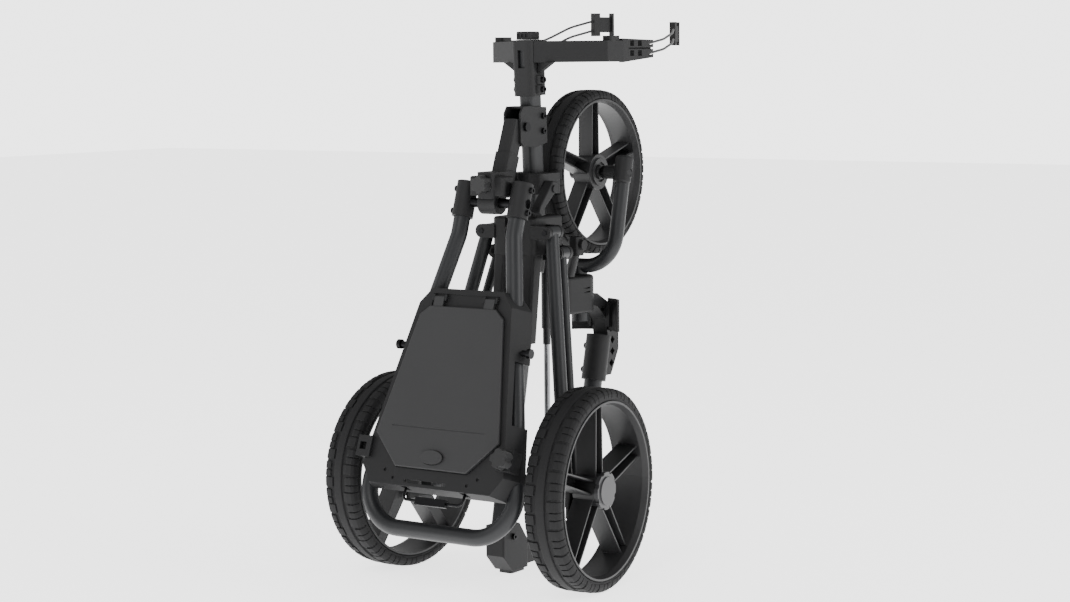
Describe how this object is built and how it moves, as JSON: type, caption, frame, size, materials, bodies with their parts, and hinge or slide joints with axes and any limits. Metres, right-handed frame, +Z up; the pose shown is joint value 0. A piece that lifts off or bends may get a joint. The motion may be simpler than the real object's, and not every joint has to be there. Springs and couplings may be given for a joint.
{
  "type": "folding golf push cart",
  "caption": "Three-wheel golf push cart folded for storage: console and handle folded down in front, front wheel folded up behind, empty bag cradle on top.",
  "frame": {"origin": "middle of the folded cart's footprint, on the ground", "axes": "+Z up, +X across the cart to the right as seen from the handle side, +Y from the handle side to the front-wheel side"},
  "size_m": [0.4068, 0.5956, 0.821],
  "materials": {
    "casting": "fine-textured black glass-filled nylon",
    "cord": "black braided elastic cord",
    "dark_steel": "black oxide steel",
    "lid_plastic": "fine-textured charcoal moulding",
    "rim_plastic": "satin dark grey moulding",
    "rubber": "matt black rubber",
    "satin_tube": "satin charcoal powder coat",
    "steel": "zinc-plated steel",
    "tread": "matt black EVA foam"
  },
  "bodies": {
    "main_frame": {"hub_casting": "casting", "hub_cover": "casting", "leg_pivot_pins": "dark_steel", "side_fairings": "casting", "main_tube": "satin_tube", "foot_casting": "casting", "fold_hinge_pin": "dark_steel", "foot_pads": "rubber", "frame_screws": "dark_steel", "strut_barrel": "satin_tube", "upper_tube": "satin_tube", "cradle_socket": "casting", "top_cap": "casting", "bag_cradle": "casting", "cradle_end_plates": "casting", "strap_cords": "cord", "strap_hooks": "casting", "pivot_plates": "casting", "handle_fold_pin": "dark_steel", "handle_dock": "casting"},
    "strut_rod": {"lock_rod": "steel"},
    "front_section": {"front_tube": "satin_tube", "front_tube_shoe": "casting", "lower_bracket": "casting", "bracket_screws": "dark_steel", "bag_rest": "casting", "steering_head": "casting", "swivel_lock": "casting"},
    "front_fork": {"fork_tube": "satin_tube", "fork_end": "casting", "front_axle": "dark_steel"},
    "front_wheel": {"front_tyre": "tread", "front_rim": "rim_plastic"},
    "link_arm": {"link_arm_upper": "casting", "link_arm_lower": "casting"},
    "angle_knob": {"clamp_knob": "rubber"},
    "handle": {"handle_tube": "satin_tube", "yoke_sockets": "casting", "yoke_cross_bar": "dark_steel", "yoke_screws": "dark_steel", "console_base": "casting", "lid_hinge_pins": "steel", "console_side_screws": "dark_steel"},
    "lid": {"console_lid": "lid_plastic"},
    "latch_button": {"lid_latch": "casting"},
    "console_knob": {"accessory_knob": "rubber"},
    "brake_lever": {"brake_bail": "dark_steel"},
    "frame_lever": {"fold_lever": "casting"},
    "leg_right": {"leg_tube_right": "satin_tube"},
    "link_right": {"parallel_link_right": "satin_tube"},
    "carrier_right": {"wheel_carrier_right": "casting"},
    "rear_wheel_right": {"rear_tyre_right": "tread", "rear_rim_right": "rim_plastic", "rear_hub_cap_right": "casting"},
    "leg_left": {"leg_tube_left": "satin_tube"},
    "link_left": {"parallel_link_left": "satin_tube"},
    "carrier_left": {"wheel_carrier_left": "casting"},
    "rear_wheel_left": {"rear_tyre_left": "tread", "rear_rim_left": "rim_plastic", "rear_hub_cap_left": "casting"}
  },
  "joints": [
    {"name": "handle_fold", "type": "hinge", "parent": "main_frame", "child": "link_arm", "pos_m": [0, -0.06105, 0.652], "axis": [-1, 0, 0], "range_deg": [0, 95]},
    {"name": "handle_angle", "type": "hinge", "parent": "link_arm", "child": "handle", "pos_m": [0, -0.12705, 0.545], "axis": [-1, 0, 0], "range_deg": [0, 75]},
    {"name": "angle_knob_turn", "type": "hinge", "parent": "link_arm", "child": "angle_knob", "pos_m": [0, -0.14605, 0.573], "axis": [0, -1, 0], "continuous": true},
    {"name": "front_fold", "type": "hinge", "parent": "main_frame", "child": "front_section", "pos_m": [0, 0.08495, 0.028], "axis": [-1, 0, 0], "range_deg": [0, 95]},
    {"name": "strut_slide", "type": "slide", "parent": "main_frame", "child": "strut_rod", "axis": [0, 0, 1], "range_m": [0, 0.015]},
    {"name": "front_swivel", "type": "hinge", "parent": "front_section", "child": "front_fork", "pos_m": [0, 0.10295, 0.395], "axis": [0, 0, -1], "range_deg": [0, 30]},
    {"name": "front_wheel_spin", "type": "hinge", "parent": "front_fork", "child": "front_wheel", "pos_m": [0, 0.13295, 0.578], "axis": [1, 0, 0], "continuous": true},
    {"name": "console_lid_hinge", "type": "hinge", "parent": "handle", "child": "lid", "pos_m": [0, -0.19472, 0.41285], "axis": [-1, 0, 0], "range_deg": [0, 100]},
    {"name": "latch_press", "type": "slide", "parent": "lid", "child": "latch_button", "axis": [0, 0.9348, -0.3551], "range_m": [0, 0.0022], "stiffness_N_per_m": 600},
    {"name": "console_knob_turn", "type": "hinge", "parent": "handle", "child": "console_knob", "pos_m": [0.122, -0.27754, 0.20469], "axis": [0, -0.9348, 0.3551], "continuous": true},
    {"name": "brake_pull", "type": "hinge", "parent": "handle", "child": "brake_lever", "pos_m": [0, -0.27611, 0.15494], "axis": [-1, 0, 0], "range_deg": [0, 14]},
    {"name": "frame_lever_turn", "type": "hinge", "parent": "main_frame", "child": "frame_lever", "pos_m": [0.044, -0.04305, 0.562], "axis": [-1, 0, 0], "range_deg": [0, 30]},
    {"name": "leg_swing_right", "type": "hinge", "parent": "main_frame", "child": "leg_right", "pos_m": [0.056, -0.05705, 0.5], "axis": [0, -1, 0], "range_deg": [0, 24]},
    {"name": "link_swing_right", "type": "hinge", "parent": "main_frame", "child": "link_right", "pos_m": [0.056, -0.03105, 0.468], "axis": [0, -1, 0], "range_deg": [0, 24]},
    {"name": "carrier_level_right", "type": "hinge", "parent": "leg_right", "child": "carrier_right", "pos_m": [0.128, -0.13505, 0.15], "axis": [0, -1, 0], "range_deg": [-24, 0]},
    {"name": "rear_wheel_spin_right", "type": "hinge", "parent": "carrier_right", "child": "rear_wheel_right", "pos_m": [0.1655, -0.12905, 0.145], "axis": [0.9976, 0.0698, 0], "continuous": true},
    {"name": "leg_swing_left", "type": "hinge", "parent": "main_frame", "child": "leg_left", "pos_m": [-0.056, -0.05705, 0.5], "axis": [0, 1, 0], "range_deg": [0, 24]},
    {"name": "link_swing_left", "type": "hinge", "parent": "main_frame", "child": "link_left", "pos_m": [-0.056, -0.03105, 0.468], "axis": [0, 1, 0], "range_deg": [0, 24]},
    {"name": "carrier_level_left", "type": "hinge", "parent": "leg_left", "child": "carrier_left", "pos_m": [-0.128, -0.13505, 0.15], "axis": [0, 1, 0], "range_deg": [-24, 0]},
    {"name": "rear_wheel_spin_left", "type": "hinge", "parent": "carrier_left", "child": "rear_wheel_left", "pos_m": [-0.1655, -0.12905, 0.145], "axis": [-0.9976, 0.0698, 0], "continuous": true}
  ],
  "couplings": [
    {"joint": "leg_swing_left", "follows": "leg_swing_right", "ratio": 1},
    {"joint": "link_swing_right", "follows": "leg_swing_right", "ratio": 1},
    {"joint": "link_swing_left", "follows": "leg_swing_right", "ratio": 1},
    {"joint": "carrier_level_right", "follows": "leg_swing_right", "ratio": -1},
    {"joint": "carrier_level_left", "follows": "leg_swing_right", "ratio": -1},
    {"joint": "strut_slide", "follows": "front_fold", "m_per_rad": 0.0090467}
  ]
}
